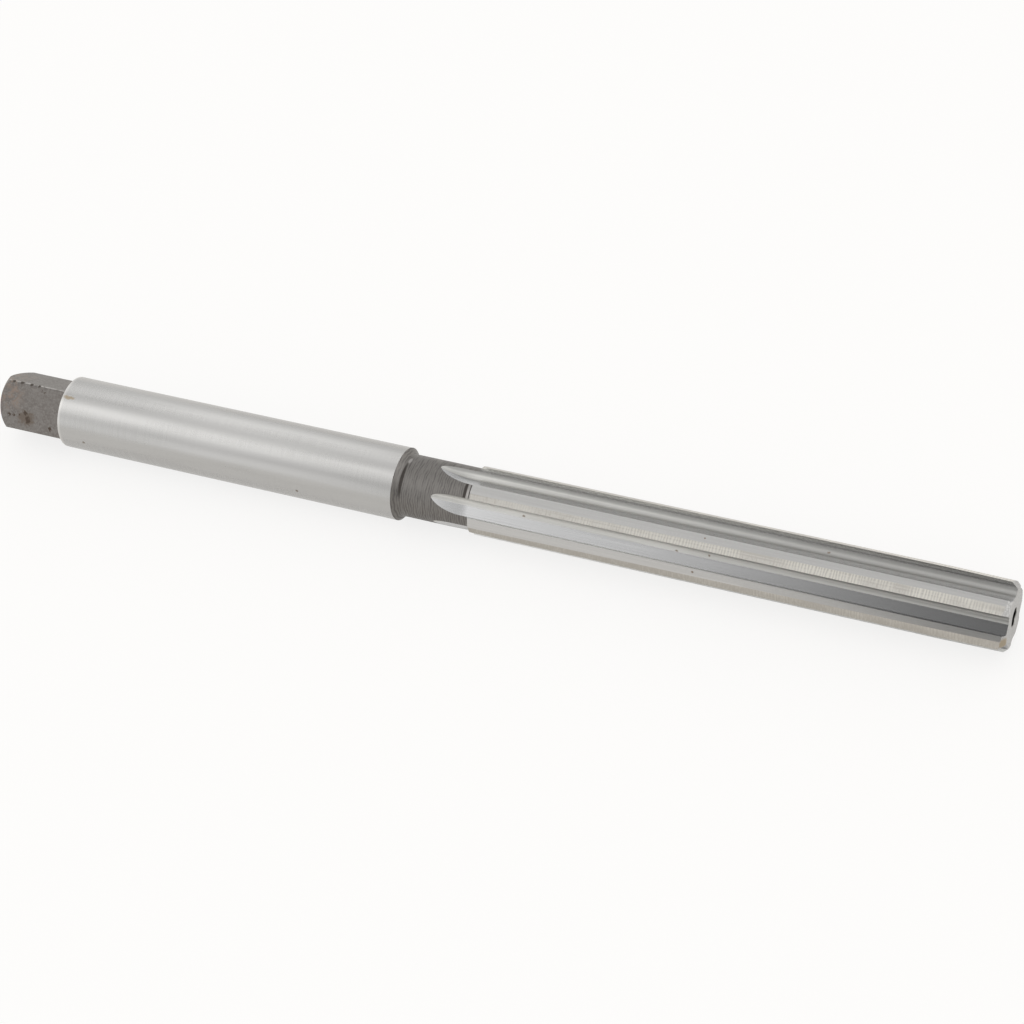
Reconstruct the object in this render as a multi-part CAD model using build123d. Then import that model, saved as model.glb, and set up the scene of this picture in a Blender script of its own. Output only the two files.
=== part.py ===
from build123d import *
import math
import os

# Hand reamer with straight flutes, a turned neck and a square tang, in one piece of
# high-speed steel. It is modelled along X with its front face at x = 0 and its cutting
# end at +X, and then laid on the floor. Millimetres and degrees throughout.

# Lengths along the tool
overall_length = 114.3
land_length = 57.15
neck_length = 8.7
square_length = 7.94

# Turned diameters
cutting_diameter = 7.9375
shank_diameter = 7.9
neck_diameter = 6.71
tang_diameter = 7.42

# Turned edges
front_chamfer = 0.65
lead_length = 7.0
lead_drop = 0.085
land_back_chamfer = 0.2
shoulder_length = 0.5
neck_fillet = 0.45
neck_fillet_share = 0.9
shank_back_length = 0.16

# Square tang that a wrench turns
across_flats = 5.46
square_turn = 30.6
tang_chamfer_length = 0.9
tang_chamfer_depth = 1.05
tang_chamfer_crown = 3.0

# Teeth: neighbouring gaps differ, so that the tool cuts without chatter, and those half
# a turn apart are alike, so that its diameter can be measured across two edges
half_turn = 180.0
quarter_turn = half_turn / 2
first_gap = 62.08
second_gap = 59.88
primary_land = 1.03
primary_relief = 17.4
secondary_land = 0.73
secondary_relief = 31.5

# Flute section, measured from the flat cutting face of a tooth
face_depth = 0.55
root_radius = 0.72
floor_slope = 1.5
back_lean = 25.0

# Fluting cutter, which rises out of the neck along its own curve
cutter_radius = 14.0
cutter_overrun = 0.3

# Centre holes, one in each end
centre_pilot_diameter = 1.0
centre_mouth_diameter = 2.12
centre_pilot_length = 0.95
centre_cone_angle = 60.0
centre_tip_angle = 118.0

# How far the cutting tools reach outside the steel, and how closely points must agree
clear = 2.0
tolerance = 1e-6

edge_radius = cutting_diameter / 2
shank_radius = shank_diameter / 2
neck_radius = neck_diameter / 2
tang_radius = tang_diameter / 2
land_back = -land_length
shank_front = land_back - neck_length
shank_back = square_length - overall_length
last_gap = half_turn - first_gap - second_gap


def tooth_heels():
    """Primary and secondary heel of the tooth whose cutting edge is at angle 0.

    Both lands are flat. They trail the edge towards negative angles, because the tool
    turns counter-clockwise as seen from its front.
    """
    first = math.radians(primary_relief)
    second = math.radians(secondary_relief)
    heel = (edge_radius - primary_land * math.sin(first), -primary_land * math.cos(first))
    back = (heel[0] - secondary_land * math.sin(second), heel[1] - secondary_land * math.cos(second))
    return heel, back


def back_heel_ahead(gap):
    """Secondary heel of the tooth that stands one gap ahead of angle 0."""
    x, y = tooth_heels()[1]
    turn = math.radians(gap)
    return x * math.cos(turn) - y * math.sin(turn), x * math.sin(turn) + y * math.cos(turn)


def resting_angle():
    """Direction that faces the floor: square to the line from an edge to the heel ahead."""
    x, y = back_heel_ahead(first_gap)
    return math.degrees(math.atan2(edge_radius - x, y))


# Turned blank

def centre_hole():
    """Countersunk pilot hole that opens towards +X at x = 0."""
    pilot = centre_pilot_diameter / 2
    mouth = centre_mouth_diameter / 2
    cone = (mouth - pilot) / math.tan(math.radians(centre_cone_angle / 2))
    bottom = cone + centre_pilot_length
    tip = bottom + pilot / math.tan(math.radians(centre_tip_angle / 2))
    outline = Polyline((0, 0), (0, mouth), (-cone, pilot), (-bottom, pilot), (-tip, 0), close=True)
    return revolve(make_face(outline), Axis.X)


def turned_blank():
    """Tang, shank, neck and the bar that the teeth are cut from, turned between centres."""
    lead_radius = edge_radius - lead_drop
    end_face = (-overall_length, tang_radius - tang_chamfer_depth)
    tang_corner = (-overall_length + tang_chamfer_length, tang_radius)
    chamfer = RadiusArc(end_face, tang_corner, tang_chamfer_crown)
    outline = Polyline(
        tang_corner,
        (shank_back, tang_radius),
        (shank_back + shank_back_length, shank_radius),
        (shank_front, shank_radius),
        (shank_front + shoulder_length, neck_radius),
        (land_back, neck_radius),
        (land_back, edge_radius - land_back_chamfer),
        (land_back + land_back_chamfer, edge_radius),
        (-lead_length, edge_radius),
        (-front_chamfer, lead_radius),
        (0, lead_radius - front_chamfer),
        (0, 0),
        (-overall_length, 0),
        end_face,
    )
    section = make_face(chamfer + outline)
    step = edge_radius - land_back_chamfer - neck_radius
    corners = section.vertices().filter_by(lambda corner: abs(corner.Y - neck_radius) < tolerance)
    section = fillet(corners, min(neck_fillet, neck_fillet_share * step))
    blank = revolve(section, Axis.X)
    blank -= centre_hole()
    blank -= Pos(-overall_length, 0, 0) * Rot(0, half_turn, 0) * centre_hole()
    return blank


# Square tang

def square_cuts():
    """Stock that is milled away to leave the four flats of the square."""
    flat = across_flats / 2
    height = tang_radius + clear - flat
    length = square_length + clear
    stock = Pos(shank_back - length / 2, flat + height / 2, 0) * Box(length, height, 2 * tang_radius)
    first = square_turn + quarter_turn / 2
    return [Rot(first + quarter_turn * side, 0, 0) * stock for side in range(4)]


# Teeth. Their sections lie in a plane across the tool, with x away from the axis along
# the flat cutting face of the tooth at angle 0, and y ahead of that face.

def section_at(station):
    """Plane across the tool, seen from its front."""
    return Plane(origin=(station, 0, 0), x_dir=(0, 1, 0), z_dir=(1, 0, 0))


def flute_section(gap):
    """Section that the fluting cutter takes out between a cutting face and the heel ahead.

    The flat face runs in to a root arc, the floor rises a little from there, and the
    back of the flute leans out to the heel.
    """
    slope = math.radians(floor_slope)
    rise = math.tan(slope)
    lean = math.tan(math.radians(back_lean))
    root = edge_radius - face_depth
    start_x = root - root_radius * math.cos(slope)
    start_y = root_radius * (1 + math.sin(slope))
    heel_x, heel_y = back_heel_ahead(gap)
    end_y = (heel_y - lean * (heel_x - start_x + rise * start_y)) / (1 - lean * rise)
    end_x = start_x + rise * (end_y - start_y)
    top = edge_radius + clear
    top_y = heel_y + lean * (top - heel_x)
    face = Line((top, 0), (root, 0))
    arc = TangentArc((root, 0), (start_x, start_y), tangent=(-1, 0))
    rest = Polyline((start_x, start_y), (end_x, end_y), (top, top_y), (top, 0))
    return make_face(face + arc + rest)


def flute_cut(gap):
    """Path of the fluting cutter: straight along the teeth, then round its own rim."""
    stop = land_back - cutter_overrun
    section = section_at(stop) * flute_section(gap)
    centre = edge_radius - face_depth - root_radius + cutter_radius
    straight = extrude(section, clear - stop)
    rim = revolve(section, Axis((stop, centre, 0), (0, 0, 1)), -quarter_turn)
    return straight + rim


def relief_cut():
    """Stock that is ground off one tooth, down to its primary and secondary land."""
    heel, back = tooth_heels()
    second = math.radians(secondary_relief)
    past = (back[0] - secondary_land * math.sin(second), back[1] - secondary_land * math.cos(second))
    top = edge_radius + clear
    outline = Polyline((edge_radius, 0), heel, back, past, (top, past[1]), (top, 0), close=True)
    start = land_back - neck_fillet
    land = extrude(section_at(start) * make_face(outline), clear - start)
    lead_start = -lead_length - clear
    lead = extrude(section_at(lead_start) * make_face(outline), clear - lead_start)
    pivot = Pos(-lead_length, edge_radius, 0)
    drop = math.degrees(math.atan2(lead_drop, lead_length - front_chamfer))
    return [land, pivot * Rot(0, 0, -drop) * pivot.inverse() * lead]


def hand_reamer():
    """The whole tool, with its front face at x = 0 and its first cutting edge towards +Y.

    The seam of the turned surfaces is turned into a flute, away from the edges.
    """
    tool = Rot(first_gap / 2, 0, 0) * turned_blank()
    tool -= square_cuts()
    gaps = (first_gap, second_gap, last_gap)
    edge = 0.0
    for gap in gaps + gaps:
        turn = Rot(edge, 0, 0)
        tool -= turn * flute_cut(gap)
        tool -= [turn * cut for cut in relief_cut()]
        edge += gap
    return tool


# The tool lies on its shank and on two of its teeth, with its middle at x = 0
tool = Rot(-quarter_turn - resting_angle(), 0, 0) * hand_reamer()
lowest = tool.bounding_box().min.Z
tool = Pos(overall_length / 2, 0, -lowest) * tool

os.makedirs("parts", exist_ok=True)
export_step(tool, "parts/hand_reamer.step")
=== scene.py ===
import math

import bmesh
import bpy
import numpy as np
from mathutils import Matrix, Vector


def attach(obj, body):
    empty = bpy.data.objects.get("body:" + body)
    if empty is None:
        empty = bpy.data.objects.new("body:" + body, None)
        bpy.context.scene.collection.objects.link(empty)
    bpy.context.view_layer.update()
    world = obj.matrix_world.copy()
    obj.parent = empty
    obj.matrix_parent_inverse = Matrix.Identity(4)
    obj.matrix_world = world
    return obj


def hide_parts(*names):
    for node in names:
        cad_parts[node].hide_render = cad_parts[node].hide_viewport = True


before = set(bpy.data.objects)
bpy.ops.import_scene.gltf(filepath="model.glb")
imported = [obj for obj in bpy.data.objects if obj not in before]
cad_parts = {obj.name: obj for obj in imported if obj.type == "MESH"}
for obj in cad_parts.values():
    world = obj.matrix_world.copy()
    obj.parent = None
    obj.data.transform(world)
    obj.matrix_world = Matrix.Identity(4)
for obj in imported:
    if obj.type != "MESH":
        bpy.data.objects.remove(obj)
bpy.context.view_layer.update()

# Hand reamer of high-speed steel. Sizes are in millimetres and degrees, along the tool
# from its front face at x = 0, and as in the part's own source.
MM = 0.001
OVERALL_LENGTH = 114.3
LAND_LENGTH = 57.15
NECK_LENGTH = 8.7
SQUARE_LENGTH = 7.94
CUTTING_DIAMETER = 7.9375
SHANK_DIAMETER = 7.9
NECK_DIAMETER = 6.71
TANG_DIAMETER = 7.42
FRONT_CHAMFER = 0.65
LEAD_LENGTH = 7.0
LEAD_DROP = 0.085
LAND_BACK_CHAMFER = 0.2
SHOULDER_LENGTH = 0.5
FILLET_RADIUS = 0.3726
SHANK_BACK_LENGTH = 0.16
ACROSS_FLATS = 5.46
SQUARE_TURN = 30.6
TANG_CHAMFER_LENGTH = 0.9
TANG_CHAMFER_DEPTH = 1.05
TANG_CHAMFER_CROWN = 3.0
GAPS = (62.08, 59.88, 58.04)
PRIMARY_LAND = 1.03
PRIMARY_LAND_BACK = 0.62
PRIMARY_RELIEF = 17.4
SECONDARY_LAND = 0.73
SECONDARY_RELIEF = 31.5
FACE_DEPTH = 0.55
ROOT_RADIUS = 0.72
FLOOR_SLOPE = 1.5
BACK_LEAN = 25.0
CUTTER_RADIUS = 14.0
CUTTER_OVERRUN = 0.3
MOUTH_RADIUS = 1.06
PILOT_RADIUS = 0.5
CENTRE_PILOT_LENGTH = 0.95
CENTRE_CONE_ANGLE = 60.0
CENTRE_TIP_ANGLE = 118.0

# How far the wall behind the teeth leans, so that its rings stand at different stations
WALL_LEAN = 0.01

EDGE_RADIUS = CUTTING_DIAMETER / 2
SHANK_RADIUS = SHANK_DIAMETER / 2
NECK_RADIUS = NECK_DIAMETER / 2
TANG_RADIUS = TANG_DIAMETER / 2
FLAT = ACROSS_FLATS / 2
TEETH = 2 * len(GAPS)
LAND_BACK = -LAND_LENGTH
SHANK_FRONT = LAND_BACK - NECK_LENGTH
SHANK_BACK = SQUARE_LENGTH - OVERALL_LENGTH

# Where the straight part of a flute ends and its cutter starts to rise out of the neck, and where
# the shank's rings join those of the fluted part
STOP = LAND_BACK - CUTTER_OVERRUN
SHANK_JOIN = SHANK_FRONT - 1.0

# How many strips each surface of a tooth's sector is divided into, around the tool
SECONDARY_STRIPS = 3
PRIMARY_STRIPS = 4
ROUND_STRIPS = 24
FACE_STRIPS = 2
ROOT_STRIPS = 12
FLOOR_STRIPS = 8
BACK_STRIPS = 6
SQUARE_FLAT_STRIPS = 16
SQUARE_CORNER_STRIPS = 20

# How many rings each turned surface is divided into, along the tool
SHOULDER_FILLET_RINGS = 8
LAND_FILLET_RINGS = 10
LAND_BACK_RINGS = 5
LAND_RINGS = 30
LEAD_RINGS = 9
FRONT_RINGS = 12
END_RINGS = 5
CROWN_RINGS = 14
TANG_RINGS = 12
SHANK_RINGS = 42

# Where the rings of the front face stand, as shares of the way in to its centre hole
END_SHARES = (0.25, 0.5, 0.75)

# Rings on the neck keep this clear of the shoulder's fillet, the flutes' tips and the lands' fillet.
# They stand one step apart before the tips, another past them, and at the last steps from each tip.
CLEAR_OF_SHOULDER = 0.25
CLEAR_OF_TIPS = 0.1
CLEAR_OF_LANDS = 0.05
PLAIN_STEP = 0.4
DEEPER_STEP = 0.14
TIP_STEPS = (0, 0.004, 0.015, 0.035, 0.07, 0.12, 0.2, 0.3)

# Points tried along a section where a crossing is searched for, and how far past the heel they go
SAMPLES = 2400
PAST_HEEL = 0.6

# Lengths and angles, in millimetres and radians, below which two values count as the same
TINY = 1e-6
SAME_ANGLE = 1e-7

# Points closer than the first are made one, edges shorter than the second go, both in metres, and
# faces that meet at more than the third, in degrees, meet in a sharp edge
MERGE_DISTANCE = 4e-7
NO_LENGTH = 1e-8
SHARP_ANGLE = 11.5

# Finishes, in the order of the tool's material slots
SHANK, NECK, FACE, ROOT, FLOOR, BACK, PRIMARY, SECONDARY, END, SQUARE, STEP, CENTRE = range(12)
AROUND_A_TOOTH = (SECONDARY, PRIMARY, NECK, FACE, ROOT, FLOOR, BACK)


def radial(angle):
    """Unit vector at an angle in radians. Across the tool it runs from +Y towards +Z."""
    return np.stack([np.cos(angle), np.sin(angle)], -1)


def turned(points, degrees):
    """Points across the tool, turned about its axis."""
    angle = math.radians(degrees)
    cos, sin = math.cos(angle), math.sin(angle)
    x, y = points[..., 0], points[..., 1]
    return np.stack([x * cos - y * sin, x * sin + y * cos], -1)


def lengths_of(points):
    """Distance of each point from the axis."""
    return np.hypot(points[..., 0], points[..., 1])


def between(start, end, strips):
    """Even steps from start to end for each ring, without the end itself."""
    start, end = np.asarray(start, float)[..., None], np.asarray(end, float)[..., None]
    return start + (end - start) * (np.arange(strips) / strips)


# One tooth's section. x runs out from the axis along the flat cutting face, y runs ahead of it.

RELIEF = math.radians(PRIMARY_RELIEF)
BACK_RELIEF = math.radians(SECONDARY_RELIEF)
ALONG_PRIMARY = np.array([-math.sin(RELIEF), -math.cos(RELIEF)])
ALONG_SECONDARY = np.array([-math.sin(BACK_RELIEF), -math.cos(BACK_RELIEF)])
EDGE = np.array([EDGE_RADIUS, 0.0])
HEEL = EDGE + PRIMARY_LAND * ALONG_PRIMARY
BACK_HEEL = HEEL + SECONDARY_LAND * ALONG_SECONDARY
SLOPE = math.radians(FLOOR_SLOPE)
LEAN = math.radians(BACK_LEAN)
ROOT_TOP = EDGE_RADIUS - FACE_DEPTH
ROOT_LENGTH = ROOT_RADIUS * (math.pi / 2 + SLOPE)
ROOT_END = np.array([ROOT_TOP - ROOT_RADIUS * math.cos(SLOPE), ROOT_RADIUS * (1 + math.sin(SLOPE))])
CUTTER_CENTRE = ROOT_TOP - ROOT_RADIUS + CUTTER_RADIUS


class Flute:
    """A flute's section from the cutting edge to the heel of the tooth ahead, and its way out of the
    neck. Its ends are the lengths along the section at which its face, root, floor and back end."""

    def __init__(self, gap):
        self.gap = gap
        self.along_floor = np.array([math.sin(SLOPE), math.cos(SLOPE)])
        self.along_back = np.array([math.cos(LEAN), math.sin(LEAN)])
        across = np.stack([self.along_floor, self.along_back], 1)
        self.floor, back = np.linalg.solve(across, turned(BACK_HEEL, gap) - ROOT_END)
        self.ends = np.cumsum([FACE_DEPTH, ROOT_LENGTH, self.floor, back])
        self.tip = STOP - CUTTER_RADIUS / 2  # well up the neck, where the search starts
        self.tip = self.find_tip()

    def straight(self, v):
        """Point at length v along the section: flat face, root arc, rising floor, leaning back."""
        face_end, root_end, floor_end = self.ends[:3]
        bend = np.clip((v - face_end) / ROOT_RADIUS, 0, ROOT_LENGTH / ROOT_RADIUS)
        x = ROOT_TOP - ROOT_RADIUS * np.sin(bend) + np.clip(face_end - v, 0, None)
        y = ROOT_RADIUS * (1 - np.cos(bend))
        on_floor = np.clip(v - root_end, 0, self.floor)[..., None] * self.along_floor
        on_back = np.clip(v - floor_end, 0, None)[..., None] * self.along_back
        return np.stack([x, y], -1) + on_floor + on_back

    def points(self, v, station):
        """The same points where the round cutter rises out: each height h above the tool's axis
        lies on a circle about the cutter's centre c, so at a distance d behind the end of the
        straight flute it becomes c - sqrt((c - h)^2 - d^2)."""
        flat = self.straight(v)
        behind = np.clip(STOP - np.maximum(station, self.tip), 0, None)
        height = CUTTER_CENTRE - np.sqrt((CUTTER_CENTRE - flat[..., 0]) ** 2 - behind**2)
        return np.stack(np.broadcast_arrays(height, flat[..., 1]), -1)

    def find_tip(self):
        """Station on the neck where the flute starts, as a line of no width."""
        stations = np.linspace(self.tip, STOP, SAMPLES)
        v = np.linspace(FACE_DEPTH, self.ends[2], SAMPLES // 4)
        lowest = lengths_of(self.points(v[None, :], stations[:, None])).min(1)
        return float(np.interp(NECK_RADIUS, lowest[::-1], stations[::-1]))

    def held(self, v, station, radius):
        """The same points, brought in to the turned outline. Those behind the flute's tip lie on it."""
        points = self.points(v, station)
        scale = radius / lengths_of(points)
        return points * np.where(station > self.tip, np.minimum(1, scale), scale)[..., None]

    def crossings(self, station, radius):
        """Where the section meets a circle of that radius, on the face's side and on the back's."""
        v = np.linspace(0, self.ends[3] + PAST_HEEL, SAMPLES)
        reach = lengths_of(self.points(v[None, :], station[:, None]))
        inside = reach < radius[:, None]
        rows = np.arange(len(station))
        first = np.clip(inside.argmax(1), 1, None)
        last = np.clip(SAMPLES - 1 - inside[:, ::-1].argmax(1), None, SAMPLES - 2)

        def meet(low, high):
            """Length at which the reach passes the radius between two of the points tried."""
            a, b = reach[rows, low], reach[rows, high]
            share = np.clip((a - radius) / np.where(a == b, 1, a - b), 0, 1)
            return v[low] + (v[high] - v[low]) * share

        lowest = v[reach.argmin(1)]
        none = ~inside.any(1) | (station <= self.tip)  # rings that the flute doesn't cut
        return np.where(none, lowest, meet(first - 1, first)), np.where(none, lowest, meet(last, last + 1))


FLUTES = [Flute(gap) for gap in GAPS]


def land_drop(station):
    """How far the tapered lead has been ground below the straight lands."""
    return np.clip(station + LEAD_LENGTH, 0, None) * LEAD_DROP / (LEAD_LENGTH - FRONT_CHAMFER)


class Lands:
    """The two lands of a tooth at each station. The primary land narrows from the lead to the neck, and
    the secondary land runs from its heel, in a straight line, to the same place at the back."""

    def __init__(self, station):
        drop = land_drop(station)
        self.drop = np.stack([drop, 0 * drop], -1)
        share = np.clip((station + LEAD_LENGTH) / (LEAD_LENGTH - LAND_LENGTH), 0, 1)
        self.primary = PRIMARY_LAND + (PRIMARY_LAND_BACK - PRIMARY_LAND) * share
        heel = EDGE + self.primary[:, None] * ALONG_PRIMARY
        along = BACK_HEEL - heel
        self.along = along / lengths_of(along)[:, None]
        self.heel = heel - self.drop

    def points(self, s):
        """Point at length s back from the cutting edge, along the primary and then the secondary land."""
        each = np.s_[:, None] if s.ndim > 1 else np.s_[:]
        width, along, drop = self.primary[each], self.along[each], self.drop[each]
        first = np.minimum(s, width)[..., None] * ALONG_PRIMARY
        return EDGE - drop + first + np.clip(s - width, 0, None)[..., None] * along

    def meet_circle(self, radius, back):
        """Length back from the edge at which the lands are that far from the axis, or their ends."""

        def meet(start, along):
            """Length s, the nearer of two, at which start + s * along is that far from the axis."""
            middle = -(start * along).sum(-1)
            inside = middle**2 - lengths_of(start) ** 2 + radius**2
            return middle - np.sqrt(np.clip(inside, 0, None))

        first = np.clip(meet(EDGE - self.drop, ALONG_PRIMARY), 0, self.primary)
        second = np.clip(meet(self.heel, self.along), 0, back - self.primary)
        return np.where(radius >= lengths_of(self.heel), first, self.primary + second)

    def back(self, flute):
        """Where the secondary land meets the back of the flute behind it: length along the lands, and
        length along the flute's section. Both lines are straight, so two equations give it."""
        along_back = turned(flute.along_back, -flute.gap)
        across = np.stack([self.along, np.broadcast_to(-along_back, self.along.shape)], -1)
        found = np.linalg.solve(across, (BACK_HEEL - self.heel)[..., None])[..., 0]
        return self.primary + found[..., 0], flute.ends[3] + found[..., 1]


def fluted_rings(station, radius):
    """Rings around the tool, from its shank's front to its front face, and the finish of each column.
    A ring is the turned outline at a station and radius, cut by the six flutes and the lands. Columns
    keep to the lines where surfaces meet: where a surface has no width on a ring, its columns come
    together there. Lengths s run back from an edge along the lands, and v ahead along the flute."""
    teeth = Lands(station)
    entries = [flute.crossings(station, radius) for flute in FLUTES]
    rings = []
    edge_angle = 0.0
    for tooth in range(TEETH):
        here, before = tooth % len(FLUTES), (tooth - 1) % len(FLUTES)
        flute, behind = FLUTES[here], FLUTES[before]
        s_back, v_back = teeth.back(behind)
        v_out_behind = np.minimum(entries[before][1], v_back)
        out_behind = turned(behind.held(v_out_behind, station, radius), -behind.gap)
        v_in = np.maximum(entries[here][0], teeth.drop[:, 0])
        v_out = np.minimum(entries[here][1], teeth.back(flute)[1])
        s_meet = teeth.meet_circle(radius, s_back)
        bare = (radius < lengths_of(teeth.points(s_back))) | (station < LAND_BACK - FILLET_RADIUS)

        heel = np.clip(teeth.primary, s_meet, s_back)
        lands = []
        for start, end, strips in ((s_back, heel, SECONDARY_STRIPS), (heel, s_meet, PRIMARY_STRIPS)):
            spread = teeth.points(between(start, end, strips))
            lands.append(np.where(bare[:, None, None], out_behind[:, None, :], spread))
        met = np.where(bare[:, None], out_behind, teeth.points(s_meet))
        entry = flute.held(v_in, station, radius)
        start = np.arctan2(met[:, 1], met[:, 0])
        end = np.arctan2(entry[:, 1], entry[:, 0])
        round_reach = np.where(bare | (s_meet > 0), radius, lengths_of(met))
        lands.append(radial(between(start, end, ROUND_STRIPS)) * round_reach[:, None, None])

        ends = [v_in] + [np.clip(end, v_in, v_out) for end in flute.ends[:3]] + [v_out]
        strips = (FACE_STRIPS, ROOT_STRIPS, FLOOR_STRIPS, BACK_STRIPS)
        spans = [between(a, b, n) for a, b, n in zip(ends, ends[1:], strips)]
        cut = [flute.held(span, station[:, None], radius[:, None]) for span in spans]
        rings += [turned(group, edge_angle) for group in lands + cut]
        edge_angle += flute.gap
    finish = np.repeat(AROUND_A_TOOTH, [group.shape[1] for group in lands + cut])
    return np.concatenate(rings, 1), np.tile(finish, TEETH)


def outline_points(stations, radii):
    """Points of the turned outline. Either can be one number for all of them."""
    return np.stack(np.broadcast_arrays(stations, radii), -1)


def fillet(centre, first, last, strips):
    """Part of a fillet's circle in the (x, radius) plane, between two angles about its centre."""
    angle = np.radians(np.linspace(first, last, strips + 1))
    return centre + FILLET_RADIUS * radial(angle)


def turned_outline():
    """Stations and radii of the fluted rings: shank, shoulder, neck, land backs, lands, lead, chamfer."""
    shoulder = math.degrees(math.atan2(SHANK_RADIUS - NECK_RADIUS, SHOULDER_LENGTH))
    foot = SHANK_FRONT + SHOULDER_LENGTH + FILLET_RADIUS * math.tan(math.radians(shoulder / 2))
    wall = LAND_BACK - WALL_LEAN
    height = NECK_RADIUS + FILLET_RADIUS
    shank = outline_points([SHANK_JOIN, SHANK_FRONT], SHANK_RADIUS)
    shoulder_fillet = fillet((foot, height), -90 - shoulder, -90, SHOULDER_FILLET_RINGS)
    land_fillet = fillet((wall - FILLET_RADIUS, height), -90, 0, LAND_FILLET_RINGS)

    tips = np.array([flute.tip for flute in FLUTES])
    after = np.concatenate([tips + step for step in TIP_STEPS])
    plain = np.arange(foot + CLEAR_OF_SHOULDER, tips.min() - CLEAR_OF_TIPS, PLAIN_STEP)
    deeper = np.arange(tips.max() + PLAIN_STEP, land_fillet[0, 0] - CLEAR_OF_LANDS, DEEPER_STEP)
    neck = outline_points(np.unique(np.concatenate([plain, after, deeper])), NECK_RADIUS)

    chamfered = EDGE_RADIUS - LAND_BACK_CHAMFER
    back_radii = np.unique([lengths_of(HEEL), *np.linspace(chamfered, EDGE_RADIUS, LAND_BACK_RINGS)])
    back = outline_points(LAND_BACK + back_radii - chamfered, back_radii)
    lands = np.linspace(LAND_BACK + LAND_BACK_CHAMFER, -LEAD_LENGTH, LAND_RINGS)[1:]
    lands = outline_points(lands, EDGE_RADIUS)
    lead = np.linspace(-LEAD_LENGTH, -FRONT_CHAMFER, LEAD_RINGS)[1:]
    lead = outline_points(lead, EDGE_RADIUS - land_drop(lead))
    lead_radius = EDGE_RADIUS - LEAD_DROP
    front_radii = lead_radius - np.linspace(0, FRONT_CHAMFER, FRONT_RINGS)[1:]
    front = outline_points(lead_radius - FRONT_CHAMFER - front_radii, front_radii)
    outline = np.concatenate([shank, shoulder_fillet, neck, land_fillet, back, lands, lead, front])
    return outline[:, 0], outline[:, 1]


def centre_outline():
    """Stations and radii of a centre hole, from the mouth in the end face to the drill point."""
    cone = (MOUTH_RADIUS - PILOT_RADIUS) / math.tan(math.radians(CENTRE_CONE_ANGLE / 2))
    bottom = cone + CENTRE_PILOT_LENGTH
    tip = bottom + PILOT_RADIUS / math.tan(math.radians(CENTRE_TIP_ANGLE / 2))
    points = [(0, MOUTH_RADIUS), (cone / 2, (MOUTH_RADIUS + PILOT_RADIUS) / 2), (cone, PILOT_RADIUS)]
    return np.array(points + [((cone + bottom) / 2, PILOT_RADIUS), (bottom, PILOT_RADIUS), (tip, 0)])


def square_ring_angles(radius):
    """Angles of a ring's columns where the square's flats cut a circle of that radius: each flat spans
    twice acos(flat / radius), and the rest of each quarter is a corner."""
    half = np.degrees(np.arccos(np.clip(FLAT / radius, None, 1)))
    columns = []
    for side in range(4):
        middle = SQUARE_TURN + 45 + 90 * side
        columns.append(between(middle - half, middle + half, SQUARE_FLAT_STRIPS))
        columns.append(between(middle + half, middle + 90 - half, SQUARE_CORNER_STRIPS))
    return np.radians(np.concatenate(columns, -1))


def crowned_chamfer(strips):
    """The tang's end chamfer: an arc of the crown's radius that bulges outwards between its two ends."""
    start = np.array([-OVERALL_LENGTH, TANG_RADIUS - TANG_CHAMFER_DEPTH])
    end = np.array([-OVERALL_LENGTH + TANG_CHAMFER_LENGTH, TANG_RADIUS])
    chord = end - start
    half = np.linalg.norm(chord) / 2
    inward = np.array([chord[1], -chord[0]]) / (2 * half)
    centre = (start + end) / 2 + inward * math.sqrt(TANG_CHAMFER_CROWN**2 - half**2)
    first = math.atan2(*(start - centre)[::-1])
    last = math.atan2(*(end - centre)[::-1])
    angle = np.linspace(first, last, strips + 1)
    return centre + TANG_CHAMFER_CROWN * radial(angle)


def square_and_shank_rings(joint_angles):
    """Rings from the rear centre hole over the end face, the square and the shank to the fluted rings.
    On the shank the columns turn slowly from the square's lines to those of the teeth."""
    hole = centre_outline()[::-1] + (-OVERALL_LENGTH, 0)
    face = np.linspace(MOUTH_RADIUS, TANG_RADIUS - TANG_CHAMFER_DEPTH, END_RINGS)[1:]
    face = outline_points(-OVERALL_LENGTH, face)
    chamfer = crowned_chamfer(CROWN_RINGS)[1:]
    tang = np.linspace(-OVERALL_LENGTH + TANG_CHAMFER_LENGTH, SHANK_BACK, TANG_RINGS)[1:]
    tang = outline_points(tang, TANG_RADIUS)
    square = np.concatenate([hole, face, chamfer, tang])
    angles = square_ring_angles(np.maximum(square[:, 1], TINY))
    from_flat = (np.degrees(angles) - SQUARE_TURN) % 90 * math.pi / 180 - math.pi / 4
    reach = np.minimum(square[:, 1:], FLAT / np.cos(from_flat))
    square_points = radial(angles) * reach[..., None]
    square_finish = np.repeat([CENTRE, END, SQUARE], [len(hole), len(face), len(chamfer) + len(tang)])

    step = SHANK_BACK + SHANK_BACK_LENGTH
    shank_x = np.concatenate([[SHANK_BACK], np.linspace(step, SHANK_JOIN, SHANK_RINGS)])
    shank_r = np.full(len(shank_x), SHANK_RADIUS)
    shank_r[0] = TANG_RADIUS

    # Each of the square's columns ends at the nearest column of the teeth, by the shorter way round
    last = angles[-1]
    shift = int(np.argmin(np.abs((joint_angles[0] - last + math.pi) % (2 * math.pi) - math.pi)))
    column = (np.arange(len(last)) - shift) % len(last)
    target = np.unwrap(joint_angles)[column]
    target = last + (target - last + math.pi) % (2 * math.pi) - math.pi
    share = np.clip((shank_x - shank_x[1]) / (shank_x[-1] - shank_x[1]), 0, 1)
    blend = share * share * (3 - 2 * share)
    shank_points = radial(last + (target - last) * blend[:, None]) * shank_r[:, None, None]
    stations = np.concatenate([square[:, 0], shank_x])
    finish = np.concatenate([square_finish, [STEP], np.full(len(shank_x) - 1, SHANK)])
    return stations, np.concatenate([square_points, shank_points]), finish


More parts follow.
